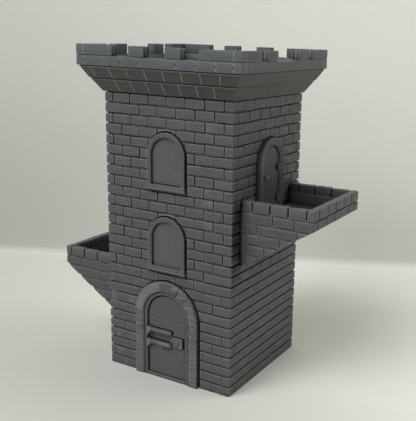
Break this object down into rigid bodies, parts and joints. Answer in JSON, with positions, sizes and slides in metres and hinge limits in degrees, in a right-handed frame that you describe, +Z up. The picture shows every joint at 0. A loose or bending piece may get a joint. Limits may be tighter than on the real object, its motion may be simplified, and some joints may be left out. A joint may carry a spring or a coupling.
{
  "type": "dice tower",
  "caption": "Castle dice tower: square brick shaft with baffles inside, lift-off battlement crown, hinged arched doors, shuttered windows and side trays on wedges.",
  "frame": {"origin": "centre of the shaft's footprint, on the plane it stands on", "axes": "+Z up, -Y is the front with the main door, +X is the side with the balcony door and the upper tray, -X the side with the lower tray"},
  "size_m": [0.2012, 0.1176, 0.224],
  "materials": {
    "shaft_print": "matte printed layers",
    "inner_print": "matte printed layers",
    "crown_print": "matte printed layers",
    "tray_print": "matte printed layers",
    "panel_print": "matte printed layers",
    "ironwork_print": "matte printed layers",
    "trim_print": "matte printed layers"
  },
  "bodies": {
    "tower": {"tower_shell": "shaft_print", "base_plate": "inner_print", "upper_baffle": "inner_print", "middle_baffle": "inner_print", "lower_baffle": "inner_print", "exit_ramp": "inner_print", "door_stone_surround": "trim_print", "door_frame_strip": "trim_print", "door_threshold": "trim_print", "lower_hinge_pintle": "ironwork_print", "upper_hinge_pintle": "ironwork_print", "lower_window_frame": "trim_print", "lower_window_sill": "trim_print", "lower_window_left_shutter": "panel_print", "lower_window_right_shutter": "panel_print", "upper_window_frame": "trim_print", "upper_window_sill": "trim_print", "upper_window_left_shutter": "panel_print", "upper_window_right_shutter": "panel_print", "balcony_door_surround": "trim_print", "balcony_lower_pintle": "ironwork_print", "balcony_upper_pintle": "ironwork_print"},
    "front_door": {"front_door_leaf": "panel_print", "lower_hinge_strap": "ironwork_print", "upper_hinge_strap": "ironwork_print", "lock_plate": "ironwork_print", "keyhole_boss": "ironwork_print"},
    "balcony_door": {"balcony_door_leaf": "panel_print", "balcony_door_handle": "ironwork_print"},
    "crown": {"crown_corbel": "crown_print", "crown_collar": "crown_print", "crown_parapet": "crown_print", "crown_roof_funnel": "crown_print"},
    "right_tray": {"right_tray": "tray_print"},
    "left_tray": {"left_tray": "tray_print"}
  },
  "joints": [
    {"name": "front_door_hinge", "type": "hinge", "parent": "tower", "child": "front_door", "pos_m": [-0.01405, -0.0484, 0.03], "axis": [0, 0, -1], "range_deg": [0, 110]},
    {"name": "balcony_door_hinge", "type": "hinge", "parent": "tower", "child": "balcony_door", "pos_m": [0.052, 0.0092, 0.135], "axis": [0, 0, 1], "range_deg": [0, 95]},
    {"name": "crown_lift", "type": "slide", "parent": "tower", "child": "crown", "axis": [0, 0, 1], "range_m": [0, 0.02]},
    {"name": "right_tray_pull", "type": "slide", "parent": "tower", "child": "right_tray", "axis": [1, 0, 0], "range_m": [0, 0.012]},
    {"name": "left_tray_pull", "type": "slide", "parent": "tower", "child": "left_tray", "axis": [-1, 0, 0], "range_m": [0, 0.012]}
  ]
}
